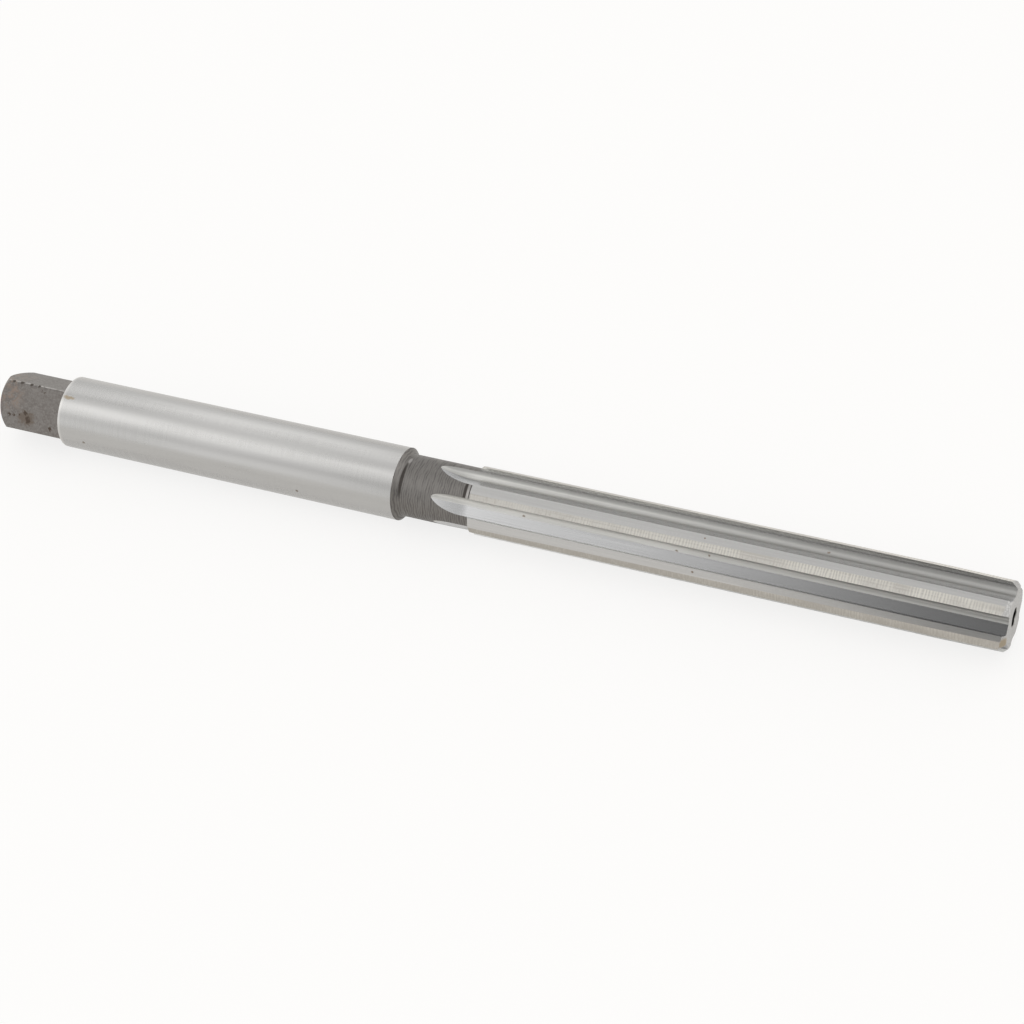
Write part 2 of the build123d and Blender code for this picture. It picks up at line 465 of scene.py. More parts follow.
def grid_faces(rings, columns, offset):
    """Four-cornered faces between neighbouring rings and columns, with the last column joined to the
    first. Seen from outside, their corners run counter-clockwise."""
    ring, column = np.meshgrid(np.arange(rings - 1), np.arange(columns), indexing="ij")
    here, ahead = ring * columns, (ring + 1) * columns
    beside = (column + 1) % columns
    corners = [here + column, here + beside, ahead + beside, ahead + column]
    return np.stack(corners, -1).reshape(-1, 4) + offset


def resting_turn():
    """The tool lies on its shank and on two teeth: the line from an edge to the next heel faces down."""
    ahead = turned(BACK_HEEL, GAPS[0])
    return -90 - math.degrees(math.atan2(EDGE_RADIUS - ahead[0], ahead[1]))


def in_place(points):
    """From the tool's own frame to the shared one, in metres, with the shank on the floor."""
    across = turned(points[:, 1:], resting_turn())
    along = points[:, 0] + OVERALL_LENGTH / 2
    return np.column_stack([along, across[:, 0], across[:, 1] + SHANK_RADIUS]) * MM


def with_stations(stations, rings):
    """Rings of points across the tool, each at its station along it, as one list of points."""
    x = np.broadcast_to(stations[:, None, None], rings[..., :1].shape)
    return np.concatenate([x, rings], -1).reshape(-1, 3)


def reamer_mesh():
    """The whole tool as one closed surface, swept ring by ring along its axis: its points, its faces
    and the finish of each face."""
    station, radius = turned_outline()
    fluted, finish = fluted_rings(station, radius)
    outline = fluted[-1]
    mouth = outline / lengths_of(outline)[:, None] * MOUTH_RADIUS
    hole = centre_outline()
    end_rings = [outline + (mouth - outline) * share for share in END_SHARES]
    hole_rings = [mouth * (r / MOUTH_RADIUS) for r in hole[:, 1]]
    fluted = np.concatenate([fluted, np.array(end_rings + hole_rings)])
    stations = np.concatenate([station, np.zeros(len(end_rings)), -hole[:, 0]])

    # A row of faces stands between a ring and the next
    fluted_finish = np.tile(finish, (len(stations) - 1, 1))
    round_columns = finish == NECK
    on_shank = (station[:-1] < SHANK_FRONT - TINY).sum()
    wall = int(np.argmin(np.abs(station - (LAND_BACK - WALL_LEAN))))
    fluted_finish[:on_shank, round_columns] = SHANK
    fluted_finish[wall:, round_columns] = END
    fluted_finish[len(station) - 1:] = END
    fluted_finish[len(station) + len(end_rings):] = CENTRE

    # On the first ring the flutes and lands have no width, so only one of their columns is kept
    angles = np.unwrap(np.arctan2(fluted[0, :, 1], fluted[0, :, 0]))
    joint_angles = angles[np.concatenate([[True], np.diff(angles) > SAME_ANGLE])]
    if joint_angles[-1] - joint_angles[0] > 2 * math.pi - SAME_ANGLE:
        joint_angles = joint_angles[:-1]
    back_stations, back, back_finish = square_and_shank_rings(joint_angles)

    points = np.concatenate([with_stations(back_stations, back), with_stations(stations, fluted)])
    faces = np.concatenate([
        grid_faces(*back.shape[:2], 0),
        grid_faces(*fluted.shape[:2], back.shape[0] * back.shape[1]),
    ])
    slots = np.concatenate([np.repeat(back_finish[1:], back.shape[1]), fluted_finish.reshape(-1)])
    return in_place(points), faces, slots


def new_mesh(name, points, faces, slots):
    """A mesh from whole arrays, with points that stand on each other made one."""
    mesh = bpy.data.meshes.new(name)
    mesh.vertices.add(len(points))
    mesh.vertices.foreach_set("co", points.astype(np.float32).ravel())
    mesh.loops.add(faces.size)
    mesh.loops.foreach_set("vertex_index", faces.astype(np.int32).ravel())
    mesh.polygons.add(len(faces))
    mesh.polygons.foreach_set("loop_start", np.arange(0, faces.size, 4, dtype=np.int32))
    for _ in range(int(slots.max()) + 1):
        mesh.materials.append(None)
    mesh.polygons.foreach_set("material_index", slots.astype(np.int32))
    mesh.update(calc_edges=True)
    work = bmesh.new()
    work.from_mesh(mesh)
    bmesh.ops.remove_doubles(work, verts=work.verts, dist=MERGE_DISTANCE)
    bmesh.ops.dissolve_degenerate(work, edges=work.edges, dist=NO_LENGTH)
    work.to_mesh(mesh)
    work.free()
    mesh.shade_smooth()
    mesh.set_sharp_from_angle(angle=math.radians(SHARP_ANGLE))
    return mesh


def new_object(name, data):
    """An object in the scene with this mesh, lens or lamp."""
    thing = bpy.data.objects.new(name, data)
    bpy.context.scene.collection.objects.link(thing)
    return thing


points, faces, slots = reamer_mesh()
mesh = new_mesh("reamer", points, faces, slots)
reamer = new_object("reamer", mesh)


# Camera: a pinhole fitted to the photograph's outlines, in millimetres from the front face's
# middle. The two vectors are in the camera's own directions: right, down and forward. The turn is
# how high the camera stands above the front horizon, in degrees, as seen along the tool.
FRONT_MIDDLE = np.array([49.42, 10.38, 265.4])
ALONG_TOOL = np.array([0.92246, 0.2029, -0.32849])
FOCAL_LENGTH = 94.82
CAMERA_TURN = 55.1
SENSOR_WIDTH = 36
NEAREST, FARTHEST = 0.01, 20  # metres


def place_camera():
    """Camera whose view has the tool's axis and its roll where the photograph has them."""
    along = ALONG_TOOL / np.linalg.norm(ALONG_TOOL)
    towards = (FRONT_MIDDLE @ along) * along - FRONT_MIDDLE
    towards /= np.linalg.norm(towards)
    seen = np.stack([along, towards, np.cross(along, towards)], 1)
    turn = math.radians(CAMERA_TURN)
    toward_world = np.array([0, -math.cos(turn), math.sin(turn)])
    along_world = np.array([1.0, 0, 0])
    world = np.stack([along_world, toward_world, np.cross(along_world, toward_world)], 1)
    to_world = world @ seen.T
    place = np.array([OVERALL_LENGTH / 2, 0, SHANK_RADIUS]) - to_world @ FRONT_MIDDLE
    lens = bpy.data.cameras.new("camera")
    lens.sensor_width = SENSOR_WIDTH
    lens.lens = FOCAL_LENGTH
    lens.clip_start, lens.clip_end = NEAREST, FARTHEST
    camera = new_object("camera", lens)
    right, down, forward = to_world.T
    turned_axes = Matrix([[right[i], -down[i], -forward[i]] for i in range(3)]).to_4x4()
    camera.matrix_world = Matrix.Translation(Vector(place * MM)) @ turned_axes
    bpy.context.scene.camera = camera


def linear(colour):
    """An sRGB hex colour as the linear values that the shader works in."""
    parts = [int(colour[i:i + 2], 16) / 255 for i in (1, 3, 5)]
    return tuple(p / 12.92 if p <= 0.04045 else ((p + 0.055) / 1.055) ** 2.4 for p in parts) + (1.0,)


def add(tree, kind, links=None, **settings):
    """A shader node of a kind, with its settings, and its inputs as values or as other outputs."""
    node = tree.nodes.new("ShaderNode" + kind)
    for name, value in settings.items():
        setattr(node, name, value)
    for name, value in (links or {}).items():
        if isinstance(value, bpy.types.NodeSocket):
            tree.links.new(value, node.inputs[name])
        else:
            node.inputs[name].default_value = value
    return node


# The wave texture's bands repeat every pi / 10 at scale 1, so this scale gives one to a unit
ONE_BAND = 0.314

# Stains, pits, painted shade and painted highlights fade out between these two shares of their
# length and width
SPOT_FADE = (0.55, 0.25)

# For shares that start and end gently
SMOOTH = {"interpolation_type": "SMOOTHSTEP"}


def place_in_millimetres(tree):
    """Each point's place in millimetres: x along the tool from its middle, y and z from its axis."""
    return add(tree, "Mapping", {
        "Vector": add(tree, "TexCoord").outputs["Object"],
        "Location": (0, 0, -SHANK_RADIUS),
        "Scale": (1 / MM, 1 / MM, 1 / MM),
    }).outputs[0]


def marks(tree, place, along, across, low, high, seed=0.0):
    """Marks of a wheel or a tool, as a share from 0 to 1. They change so many times in a millimetre
    along the tool and across it, and show where the noise rises from low to high. A seed gives others."""
    stretched = add(tree, "Mapping", {
        "Vector": place, "Location": (seed, seed / 2, -seed), "Scale": (along, across, across)})
    noise = add(tree, "TexNoise", {"Vector": stretched.outputs[0], "Scale": 1.0, "Detail": 2.0})
    return add(tree, "MapRange", {
        "Value": noise.outputs[0], "From Min": low, "From Max": high}, **SMOOTH).outputs[0]


def rising(tree, place, axis, span, lowest=0.0, **settings):
    """Share that rises from its lowest value to 1 over a span of millimetres along one axis."""
    along = add(tree, "SeparateXYZ", {0: place}).outputs[axis]
    return add(tree, "MapRange", {
        "Value": along, "From Min": span[0], "From Max": span[1], "To Min": lowest}, **settings).outputs[0]


def together(tree, first, *others):
    """Share of the places where all of these hold: their product."""
    for other in others:
        first = add(tree, "Math", {0: first, 1: other}, operation="MULTIPLY").outputs[0]
    return first


def spots(tree, place, centres, ragged):
    """Stains, pits, painted shade and painted highlights about given points, in millimetres: each is
    (x, y, z, length, width), with an edge made ragged by that much."""
    noise = add(tree, "TexNoise", {"Vector": place, "Scale": 3.0, "Detail": 3.0})
    shifted = add(tree, "VectorMath", {0: noise.outputs["Color"], 1: (0.5, 0.5, 0.5)}, operation="SUBTRACT")
    shifted = add(tree, "VectorMath", {
        0: shifted.outputs[0], 1: (ragged, ragged, ragged), 2: place}, operation="MULTIPLY_ADD").outputs[0]
    total = 0.0
    for x, y, z, length, width in centres:
        away = add(tree, "Mapping", {
            "Vector": shifted, "Location": (-x / length, -y / width, -z / width),
            "Scale": (1 / length, 1 / width, 1 / width)})
        reach = add(tree, "VectorMath", {0: away.outputs[0]}, operation="LENGTH")
        near = add(tree, "MapRange", {
            "Value": reach.outputs["Value"], "From Min": SPOT_FADE[0], "From Max": SPOT_FADE[1]}, **SMOOTH)
        total = add(tree, "Math", {0: near.outputs[0], 1: total}, operation="MAXIMUM").outputs[0]
    return total


def ticks(tree, place, each_mm, across, ragged):
    """Regular marks across the tool, so many to a millimetre of its length, as a share from 0 to 1.
    They waver along and across it by as much as ragged says."""
    across *= each_mm
    stretched = add(tree, "Mapping", {"Vector": place, "Scale": (each_mm, across, across)})
    return add(tree, "TexWave", {
        "Vector": stretched.outputs[0], "Scale": ONE_BAND, "Distortion": ragged, "Detail": 2.0,
        "Detail Scale": 1.5}, bands_direction="X").outputs["Fac"]


def new_material(name):
    """A material without nodes, and the tree for them."""
    material = bpy.data.materials.new(name)
    material.use_nodes = True
    material.node_tree.nodes.clear()
    return material, material.node_tree


def new_finish(name):
    """A new material and its tree, with each point's place in millimetres."""
    material, tree = new_material(name)
    return material, tree, place_in_millimetres(tree)


def dress(material, colour, roughness, layers, relief, depth, ground_across=0.0):
    """Steel with layers over it, each a share from 0 to 1 with its own colour and roughness, and a
    relief whose full height is depth in millimetres. Steel ground across spreads what it mirrors
    along the tool, by that much."""
    tree = material.node_tree
    colour = linear(colour)
    for share, over, rough in layers:
        # A Mix node's inputs 2 and 3 are numbers, and its inputs 6 and 7 colours
        colour = add(tree, "Mix", {0: share, 6: colour, 7: linear(over)}, data_type="RGBA").outputs[2]
        roughness = add(tree, "Mix", {0: share, 2: roughness, 3: rough}).outputs[0]
    bump = add(tree, "Bump", {"Height": relief, "Distance": depth * MM})
    shader = add(tree, "BsdfPrincipled", {
        "Base Color": colour, "Metallic": 1.0, "Roughness": roughness, "Normal": bump.outputs[0]})
    if ground_across:
        along_tool = add(tree, "VectorTransform", {0: (1, 0, 0)}, convert_from="OBJECT", convert_to="WORLD")
        shader.inputs["Anisotropic"].default_value = ground_across
        tree.links.new(along_tool.outputs[0], shader.inputs["Tangent"])
    add(tree, "OutputMaterial", {"Surface": shader.outputs[0]})
    return material


# Places of stains and pits, and of painted shade and painted highlights, in millimetres from the
# tool's middle and its axis: x, y, z, and then how far they reach along the tool and across it. An
# endless one goes all the way.
ENDLESS = 1000.0
SHANK_STAINS = ((-48.2, -1.0, 3.8, 1.7, 0.5), (-48.5, -1.05, 3.8, 0.8, 0.5))
SHANK_SPECKS = ((-19.83, -3.95, 0.06, 0.4, 0.4), (-46.01, -3.94, 0.18, 0.4, 0.4))
# Painted shade: dark lines in the corners at the neck's two ends
NECK_END_SHADE = ((-7.95, -1.64, 2.93, 0.5, 4.8), (-0.7, -1.64, 2.93, 0.4, 5.0), (-0.05, 0, 0, 0.4, ENDLESS))
# Painted highlights beside the corners at the neck's ends
NECK_PAINTED_HIGHLIGHTS = ((-0.38, -1.64, 2.93, 0.34, 4.4), (-7.85, 0.81, 3.26, 0.45, 1.1))
SQUARE_PITS = ((-51.71, -0.75, 3.37, 0.42, 0.42), (-53.5, -3.0, 0.7, 0.7, 1.0),
               (-53.87, -2.51, 1.25, 0.6, 0.6), (-50.59, -3.24, 0.37, 0.5, 0.5),
               (-55.9, -2.81, 0.89, 0.5, 0.4), (-55.33, -2.81, 0.89, 0.4, 0.4),
               (-54.6, -2.73, 0.98, 0.45, 0.45))
SQUARE_GRIME = ((-53.7, -2.9, 0.8, 2.6, 2.0),)
CORNER_NOTCHES = ((-55.6, -0.29, 3.7, 0.45, 0.5), (-54.6, -0.29, 3.7, 0.6, 0.5),
                  (-53.35, -0.29, 3.7, 0.5, 0.5), (-52.4, -0.29, 3.7, 0.4, 0.5))
CHAMFER_STAIN = ((56.95, -3.4, 0.17, 1.6, 1.5),)
FLUTE_SPECKS = ((5.97, -2.05, 1.88, 0.35, 0.25), (22.83, -2.14, 1.77, 0.35, 0.25),
                (24.91, -3.63, 0.82, 0.35, 0.3), (25.68, -1.09, 3.55, 0.25, 0.25),
                (26.31, -1.97, 2.0, 0.25, 0.25), (38.0, 0.99, 2.7, 0.3, 0.25))
# Painted shade along the corner of the upper flute
FLUTE_CORNER_SHADE = ((0, 1.42, 3.0, ENDLESS, 0.8),)

# Spans over which a look comes in, in millimetres along one axis, from none of it to all of it
# Painted highlight: the shank grows lighter just before the bevel at its back
SHANK_RIM_HIGHLIGHT_X = (-48.7, -49.0)
# Painted shade: the neck darker towards its underside
NECK_UNDER_SHADE_Z = (2.4, 0.3)
# Painted light: the neck lighter on its upper far side
NECK_TOP_LIGHT_Y = (0.1, 1.5)
SQUARE_WARMTH_X = (-53.5, -55.5)
SQUARE_WARMTH_Z = (0.8, 2.2)
WORN_CREST_Y = (-0.36, -0.22)
# Painted shade: the flutes darker towards the cutting end
FLUTE_FRONT_SHADE_X = (18.0, 50.0)
# Painted light and shade on the flutes, coming in along the tool
FLUTE_PAINTED_X = (2.0, 42.0)
UPPER_FLUTE_Z = (1.9, 2.3)
LOWER_FLUTE_Z = (0.2, -0.4)
CHATTER_X = (-5.0, 45.0)
LAND_TOP_Z = (0.0, 2.5)
# Painted shade: the centre hole turns black a little way in
HOLE_SHADE_X = (57.15, 57.06)

# Worn corners of the square: how deep the wear goes, how much of that chips, and how soft its edge is
WEAR_DEPTH = 0.035
WEAR_CHIPS = 0.03
WEAR_FADE = 0.02

# How far the painted shade in a centre hole wavers along the tool
HOLE_RAGGED = 0.06


def ground_shank():
    """Cylindrically ground high-speed steel: satin, with very fine rings around it and faint bands
    along it, and one brown rust smear near the square. The rings are drawn coarser than the real
    ones, which are too fine to show."""
    material, tree, place = new_finish("cylindrically_ground_high_speed_steel")
    rings = marks(tree, place, 3.0, 0.05, 0.3, 0.7)
    bands = marks(tree, place, 0.04, 0.7, 0.4, 0.65, seed=7.0)
    return dress(material, "#b4b3b1", 0.27, [
        (rings, "#b1b0ae", 0.28),
        (bands, "#b7b6b4", 0.26),
        # Painted highlight along the shank's back edge
        (rising(tree, place, "X", SHANK_RIM_HIGHLIGHT_X), "#cfcdca", 0.3),
        (spots(tree, place, SHANK_SPECKS, 0.1), "#8a8279", 0.45),
        (spots(tree, place, SHANK_STAINS, 0.5), "#a89c8a", 0.38),
    ], rings, 0.0002)


def turned_neck():
    """High-speed steel as the lathe left it under a thin dark film: dull, warm grey, with fine uneven
    rings from the point of the turning tool. It carries painted shade in the corners at its ends and
    on its underside, painted highlights beside those corners, and a painted lighter upper side."""
    material, tree, place = new_finish("turned_high_speed_steel")
    rings = ticks(tree, place, 3.8, 0.5, 6.0)
    broad = marks(tree, place, 1.6, 0.12, 0.42, 0.62, seed=9.0)
    film = marks(tree, place, 1.2, 1.2, 0.4, 0.65, seed=5.0)
    fine = marks(tree, place, 4.5, 0.8, 0.35, 0.65, seed=2.0)
    return dress(material, "#7a7774", 0.48, [
        (film, "#807d7a", 0.5),
        # Painted shade on the neck's underside
        (rising(tree, place, "Z", NECK_UNDER_SHADE_Z), "#64605c", 0.5),
        # Painted light on the neck's upper side
        (rising(tree, place, "Y", NECK_TOP_LIGHT_Y), "#8b8885", 0.5),
        (broad, "#7d7a77", 0.46),
        (fine, "#686563", 0.5),
        (rings, "#807d79", 0.44),
        # Painted shade in the corners at the neck's ends
        (spots(tree, place, NECK_END_SHADE, 0.05), "#4c4845", 0.5),
        # Painted highlights beside the neck's corners
        (spots(tree, place, NECK_PAINTED_HIGHLIGHTS, 0.05), "#9a9794", 0.36),
    ], fine, 0.006)


def ground_flute(name, colour, dark, roughness, front_shade, painted_light_shade, painted_z):
    """Flute ground with a formed wheel: grey, with fine lines along the tool and a few tiny brown
    specks. The lines are drawn coarser than the real ones. Towards the cutting end the steel takes a
    darker colour, painted shade for the darker reflections there. Past the given heights it takes
    another, painted light on the floor and the back and painted shade on the root, and a painted dark
    line runs along the corner of the upper flute."""
    material, tree, place = new_finish(name)
    lines = marks(tree, place, 0.04, 5.0, 0.35, 0.65, seed=1.0)
    clouds = marks(tree, place, 0.12, 0.6, 0.4, 0.7, seed=4.0)
    there = together(tree, rising(tree, place, "Z", painted_z), rising(tree, place, "X", FLUTE_PAINTED_X))
    return dress(material, colour, roughness, [
        (lines, dark, roughness + 0.03),
        (clouds, colour, roughness - 0.03),
        # Painted shade towards the cutting end
        (rising(tree, place, "X", FLUTE_FRONT_SHADE_X), front_shade, roughness),
        # Past the given heights: painted light on the floor and the back, painted shade on the root
        (there, painted_light_shade, roughness),
        # Painted shade: a dark band along the corner of the upper flute
        (spots(tree, place, FLUTE_CORNER_SHADE, 0.05), "#acaba8", roughness),
        (spots(tree, place, FLUTE_SPECKS, 0.3), "#8f8479", 0.5),
    ], lines, 0.0015)


def primary_land():
    """Narrow land ground across with a cup wheel: warm and light, with fine chatter marks across the
    tooth, about three to a millimetre, that come and go and grow towards the cutting end."""
    material, tree, place = new_finish("primary_land_ground_across")
    upper = rising(tree, place, "Z", LAND_TOP_Z, lowest=0.2)
    under = add(tree, "Math", {0: 1.0, 1: upper}, operation="SUBTRACT").outputs[0]
    patches = marks(tree, place, 0.22, 0.3, 0.4, 0.6, seed=6.0)
    growth = together(tree, rising(tree, place, "X", CHATTER_X, lowest=0.3), patches, upper)
    chatter = together(tree, ticks(tree, place, 3.1, 0.25, 4.5), growth)
    grain = marks(tree, place, 7.0, 2.0, 0.45, 0.7, seed=8.0)
    streaks = marks(tree, place, 0.04, 4.0, 0.5, 0.75, seed=2.0)
    return dress(material, "#c4c1bb", 0.36, [
        # Painted shade: the lands darker and warmer towards the underside of the tool
        (under, "#a39e96", 0.34),
        (streaks, "#aeaaa3", 0.36),
        (grain, "#b6b2ab", 0.36),
        (chatter, "#d6d3ca", 0.32),
        (spots(tree, place, FLUTE_SPECKS, 0.12), "#8f8073", 0.5),
    ], chatter, 0.0004, ground_across=0.8)


def secondary_land():
    """Relief ground behind the primary land: smooth and grey, with faint lines along the tool, drawn
    coarser than the real ones."""
    material, tree, place = new_finish("secondary_land_ground_smooth")
    lines = marks(tree, place, 0.06, 5.0, 0.35, 0.65, seed=3.0)
    grain = marks(tree, place, 5.0, 1.5, 0.35, 0.7, seed=8.0)
    return dress(material, "#c7c6c4", 0.34, [
        (lines, "#bebdbb", 0.34),
        (grain, "#c2c1bf", 0.35),
        (spots(tree, place, FLUTE_SPECKS, 0.12), "#8f8073", 0.5),
    ], lines, 0.0004, ground_across=0.7)


def faced_end():
    """End face, faced on a lathe: light grey and grainy, with a brown tint on one tooth."""
    material, tree, place = new_finish("faced_high_speed_steel")
    grains = marks(tree, place, 8.0, 8.0, 0.35, 0.65, seed=3.0)
    return dress(material, "#c4c3c1", 0.55, [
        (grains, "#a9a8a6", 0.58),
        (spots(tree, place, CHAMFER_STAIN, 0.3), "#a39784", 0.45),
    ], grains, 0.0012)


def milled_square():
    """Milled square under the brown-grey scale of hardening: dull and mottled, with rust pits, a warm
    tint towards its end, and bright metal where its corners have worn and chipped."""
    material, tree, place = new_finish("hardened_scale_on_milled_steel")
    mottle = marks(tree, place, 1.6, 1.6, 0.35, 0.65, seed=1.0)
    grit = marks(tree, place, 4.5, 4.5, 0.4, 0.7, seed=2.0)
    patches = marks(tree, place, 0.6, 0.6, 0.25, 0.5, seed=11.0)
    warm = together(tree, rising(tree, place, "X", SQUARE_WARMTH_X, **SMOOTH),
                    rising(tree, place, "Z", SQUARE_WARMTH_Z, **SMOOTH), patches)
    across = add(tree, "VectorMath", {0: place, 1: (0, 1, 1)}, operation="MULTIPLY")
    reach = add(tree, "VectorMath", {0: across.outputs[0]}, operation="LENGTH").outputs["Value"]
    chips = marks(tree, place, 2.0, 0.3, 0.35, 0.65, seed=4.0)
    edge = add(tree, "Math", {0: chips, 1: WEAR_CHIPS, 2: TANG_RADIUS - WEAR_DEPTH}, operation="MULTIPLY_ADD")
    worn = add(tree, "Math", {0: reach, 1: edge.outputs[0]}, operation="SUBTRACT").outputs[0]
    corner = add(tree, "MapRange", {"Value": worn, "From Min": 0.0, "From Max": WEAR_FADE})
    corner = together(tree, corner.outputs[0], rising(tree, place, "Y", WORN_CREST_Y))
    return dress(material, "#7b7773", 0.42, [
        (warm, "#8a7b70", 0.42),
        (mottle, "#736e6a", 0.44),
        (grit, "#827e7a", 0.4),
        (spots(tree, place, SQUARE_GRIME, 1.6), "#6f665e", 0.46),
        (corner, "#b5b2ae", 0.34),
        (spots(tree, place, CORNER_NOTCHES, 0.25), "#5b5550", 0.5),
        (spots(tree, place, SQUARE_PITS, 0.9), "#584e46", 0.58),
    ], grit, 0.006)


def turned_edge():
    """Narrow bevel turned behind the shank, which catches the light as a bright ring."""
    material, tree, place = new_finish("turned_bright_edge")
    rings = marks(tree, place, 2.0, 0.3, 0.35, 0.65)
    return dress(material, "#cfcdc9", 0.3, [(rings, "#c2c0bc", 0.34)], rings, 0.001)


def drilled_centre():
    """Countersunk centre hole: light at its mouth, with painted shade that turns it black a little way in."""
    material, tree, place = new_finish("shade_in_drilled_centre")
    ragged = marks(tree, place, 1.5, 1.5, 0.3, 0.7)
    along = add(tree, "SeparateXYZ", {0: place}).outputs["X"]
    along = add(tree, "Math", {0: along}, operation="ABSOLUTE").outputs[0]
    moved = add(tree, "Math", {0: ragged, 1: HOLE_RAGGED, 2: along}, operation="MULTIPLY_ADD")
    # Painted shade in the hole's recess
    shade = add(tree, "MapRange", {
        "Value": moved.outputs[0], "From Min": HOLE_SHADE_X[0], "From Max": HOLE_SHADE_X[1]}).outputs[0]
    return dress(material, "#aaa8a4", 0.4, [(shade, "#0f0e0d", 0.6)], ragged, 0.001)


finishes = {
    SHANK: ground_shank(),
    NECK: turned_neck(),
    # In each flute finish the colour after the roughness is painted shade towards the cutting end; the next
    # is painted shade on the root and painted light on the floor and the back
    FACE: ground_flute("form_ground_face", "#cfcdc8", "#c3c1bc", 0.13, "#cfcdc8", "#cfcdc8", UPPER_FLUTE_Z),
    ROOT: ground_flute("form_ground_root", "#d0cfcb", "#c4c3bf", 0.42, "#c6c5c1", "#b6b5b2", UPPER_FLUTE_Z),
    FLOOR: ground_flute("form_ground_floor", "#cbcbcb", "#bfbfbf", 0.25, "#aaaaaa", "#f0f0f0", UPPER_FLUTE_Z),
    # The back's colour is far lighter than the rest of the flute steel: painted light that lifts its dark
    # reflection
    BACK: ground_flute("form_ground_back", "#eeeeec", "#e4e4e2", 0.6, "#8c8c8c", "#f0f0ee", LOWER_FLUTE_Z),
    PRIMARY: primary_land(),
    SECONDARY: secondary_land(),
    END: faced_end(),
    SQUARE: milled_square(),
    STEP: turned_edge(),
    CENTRE: drilled_centre(),
}
for slot, finish in finishes.items():
    mesh.materials[slot] = finish


# What the bare steel mirrors: a studio tent, brighter above and darker where the camera stands. The
# angles run around the tool from the horizon in front of it over the top to the horizon behind it,
# each with the tent's level there. The first number is the mirrored ray's own x, its lean along the
# tool, at which these levels hold. Between two such numbers their tents blend.
TENTS = (
    (-0.50, ((0, 1.15), (10, 1.15), (22, 1.3), (32, 1.2), (42, 1.3), (53, 1.5), (63, 1.65),
             (73, 1.5), (84, 1.02), (104, 0.74), (120, 0.8), (135, 0.8), (160, 0.8))),
    (-0.42, ((0, 1.27), (12, 1.42), (24, 1.15), (34, 0.9), (46, 1.4), (56, 1.87), (67, 2.35),
             (76, 2.5), (86, 1.98), (97, 1.58), (109, 1.83), (124, 2.4), (138, 2.3),
             (157, 1.6), (174, 1.12))),
    (-0.38, ((0, 1.25), (12, 1.36), (24, 1.13), (34, 0.87), (46, 1.3), (56, 1.65), (67, 2.05),
             (76, 2.12), (86, 1.67), (97, 1.38), (109, 1.5), (124, 1.95), (138, 1.93),
             (157, 1.35), (174, 0.95))),
    (-0.32, ((0, 0.8), (16, 0.8), (34, 0.66), (50, 0.5), (66, 0.53), (78, 0.68), (88, 0.78),
             (102, 0.6), (116, 0.48), (134, 0.55), (180, 0.75))),
    (-0.14, ((0, 0.6), (16, 0.62), (50, 0.75), (66, 0.54), (77, 0.46), (87, 0.62), (102, 0.5),
             (118, 0.5), (138, 0.5), (160, 0.6), (180, 0.65))),
    (0.50, ((0, 0.6), (45, 1.1), (90, 1.65), (120, 1.45), (180, 1.0))),
)

# The brightest level of the tents, and the even level that all other rays see
TENT_TOP = 2.5
DAYLIGHT = 0.95

# Half the width of the floor, in metres, and how much of its white is a plain glow, by kind of ray
FLOOR_HALF = 3.0
FLOOR_GLOW = {"Is Camera Ray": 0.78, "Is Glossy Ray": 0.55, "Is Transmission Ray": 0.55}

# Grey cards: their level, the span along the tool over which they fade in, where they end, and how far
# in front of the tool's axis they stand, all from its middle
FLAG_LEVEL = 0.1
FLAG_FADE = (8.0, 52.0)
FLAG_END = 80.0
FLAG_AWAY = 30.0

# Softbox above the tool, in metres and watts
SOFTBOX_PLACE = (-0.15, -0.15, 0.7)
SOFTBOX_SIZE = (0.7, 0.5)
SOFTBOX_POWER = 0.5


def new_sheet(name, corners, material):
    """A flat sheet with four corners, in metres."""
    mesh = bpy.data.meshes.new(name)
    mesh.from_pydata(corners, [], [(0, 1, 2, 3)])
    mesh.materials.append(material)
    return new_object(name, mesh)


def glow_over(tree, share, under, level):
    """Finish a material with a plain white glow of that level, laid over another shader by its share."""
    glow = add(tree, "Emission", {"Color": (1, 1, 1, 1), "Strength": level})
    both = add(tree, "MixShader", {0: share, 1: under.outputs[0], 2: glow.outputs[0]})
    add(tree, "OutputMaterial", {"Surface": both.outputs[0]})


def paper_floor():
    """White paper sweep. Camera, glossy and transmission rays also see a plain glow, which makes it
    read as white and leaves the tool's shadow on it."""
    material, tree = new_material("white_paper")
    path = add(tree, "LightPath")
    share = 0.0
    for ray, part in FLOOR_GLOW.items():
        share = add(tree, "Math", {
            0: path.outputs[ray], 1: part, 2: share}, operation="MULTIPLY_ADD").outputs[0]
    glow_over(tree, share, add(tree, "BsdfDiffuse", {"Color": linear("#f5f1eb")}), 1.0)
    corners = [(x * FLOOR_HALF, y * FLOOR_HALF, 0) for x, y in ((-1, -1), (1, -1), (1, 1), (-1, 1))]
    return new_sheet("floor", corners, material)


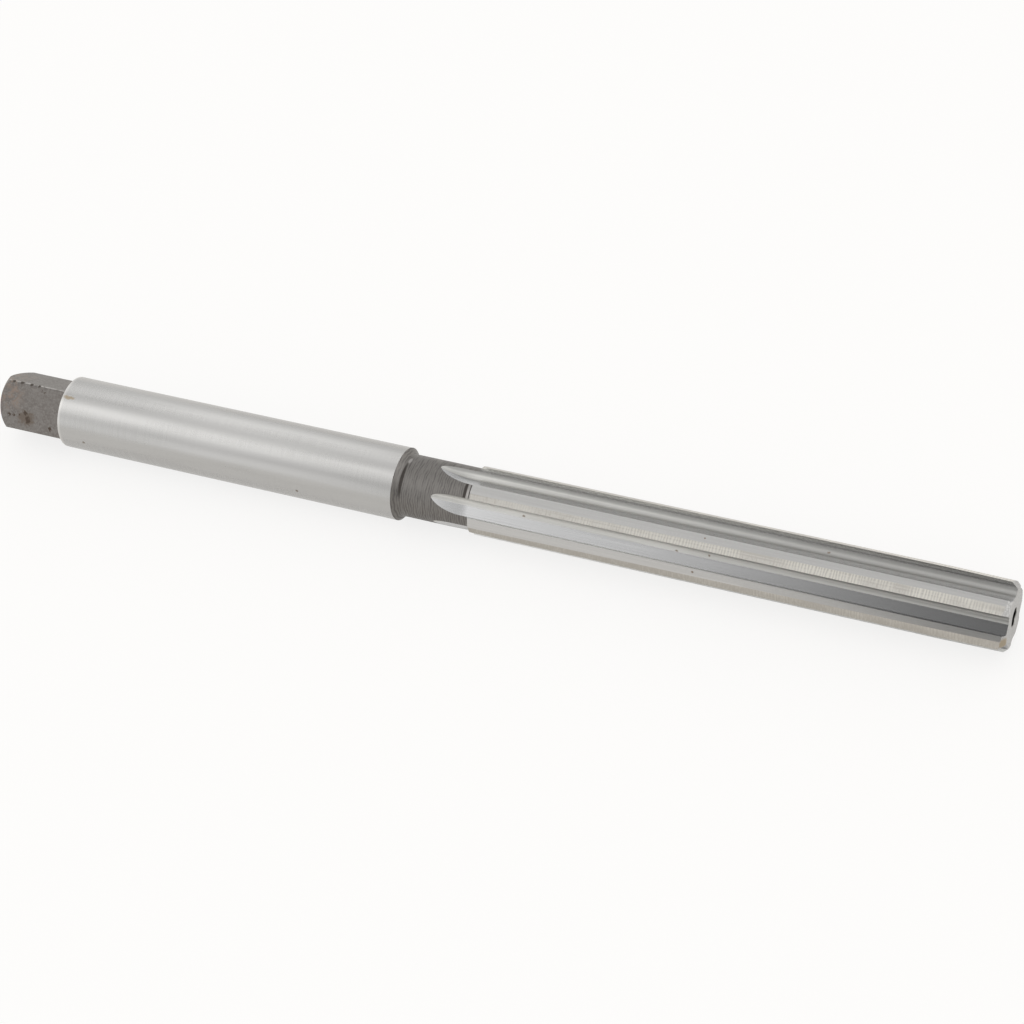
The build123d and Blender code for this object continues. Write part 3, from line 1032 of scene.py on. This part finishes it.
def grey_flag(name, bottom, top, soft):
    """Grey card on its edge in front of the cutting end, as a photographer places one to darken what
    the steel mirrors. It is seen in reflections alone. It fades out towards the shank, and over a
    soft height at its top and bottom. All in millimetres."""
    material, tree, place = new_finish("grey_card_" + name)
    fades = [rising(tree, place, "X", FLAG_FADE)]
    if soft:
        for edge, inside in ((bottom, bottom + soft), (top, top - soft)):
            heights = (edge - SHANK_RADIUS, inside - SHANK_RADIUS)
            fades.append(rising(tree, place, "Z", heights, **SMOOTH))
    glow_over(tree, together(tree, *fades), add(tree, "BsdfTransparent"), FLAG_LEVEL)
    left, right = FLAG_FADE[0], FLAG_END
    corners = [(left, -FLAG_AWAY, bottom), (right, -FLAG_AWAY, bottom),
               (right, -FLAG_AWAY, top), (left, -FLAG_AWAY, top)]
    flag = new_sheet(name, [[part * MM for part in corner] for corner in corners], material)
    flag.visible_camera = flag.visible_diffuse = flag.visible_transmission = flag.visible_shadow = False
    return flag


def tent_levels(tree, share, stops):
    """Level of one tent, as a share of the brightest, at an angle given as a share of half a turn."""
    ramp = add(tree, "ValToRGB", {0: share})
    ramp.color_ramp.interpolation = "CARDINAL"
    elements = ramp.color_ramp.elements
    for index, (degrees, level) in enumerate(stops):
        element = elements[index] if index < 2 else elements.new(degrees / 180)
        element.position = degrees / 180
        element.color = (level / TENT_TOP,) * 3 + (1,)
    return ramp.outputs[0]


def studio_tent():
    """World of soft light. Glossy rays see the tents, and the rest an even level."""
    world = bpy.data.worlds.new("studio_tent")
    bpy.context.scene.world = world
    world.use_nodes = True
    tree = world.node_tree
    tree.nodes.clear()
    ray = add(tree, "SeparateXYZ", {0: add(tree, "TexCoord").outputs["Generated"]})
    forward = add(tree, "Math", {0: ray.outputs["Y"], 1: -1.0}, operation="MULTIPLY")
    angle = add(tree, "Math", {0: ray.outputs["Z"], 1: forward.outputs[0]}, operation="ARCTAN2")
    share = add(tree, "Math", {0: angle.outputs[0], 1: math.pi}, operation="DIVIDE").outputs[0]
    tents = [(x, tent_levels(tree, share, stops)) for x, stops in TENTS]
    level = tents[0][1]
    for (before, _), (x, tent) in zip(tents, tents[1:]):
        part = add(tree, "MapRange", {
            "Value": ray.outputs["X"], "From Min": before, "From Max": x}, **SMOOTH)
        level = add(tree, "Mix", {0: part.outputs[0], 6: level, 7: tent}, data_type="RGBA").outputs[2]
    glossy = add(tree, "LightPath").outputs["Is Glossy Ray"]
    even = (DAYLIGHT / TENT_TOP,) * 3 + (1,)
    level = add(tree, "Mix", {0: glossy, 6: even, 7: level}, data_type="RGBA").outputs[2]
    background = add(tree, "Background", {"Color": level, "Strength": TENT_TOP})
    add(tree, "OutputWorld", {"Surface": background.outputs[0]})


def soft_light(name):
    """A rectangular lamp that faces the floor under the tool's middle. The steel doesn't mirror it."""
    light = bpy.data.lights.new(name, "AREA")
    light.shape = "RECTANGLE"
    light.size, light.size_y = SOFTBOX_SIZE
    light.energy = SOFTBOX_POWER
    lamp = new_object(name, light)
    lamp.location = SOFTBOX_PLACE
    lamp.rotation_euler = (-Vector(SOFTBOX_PLACE)).to_track_quat("-Z", "Y").to_euler()
    lamp.visible_glossy = False


paper_floor()
grey_flag("low_flag", 0, 16, 0)
grey_flag("high_flag", 28, 62, 9)
studio_tent()
soft_light("overhead_softbox")
place_camera()

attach(reamer, "root")
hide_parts("hand_reamer")
bpy.context.scene.view_settings.view_transform = "Standard"
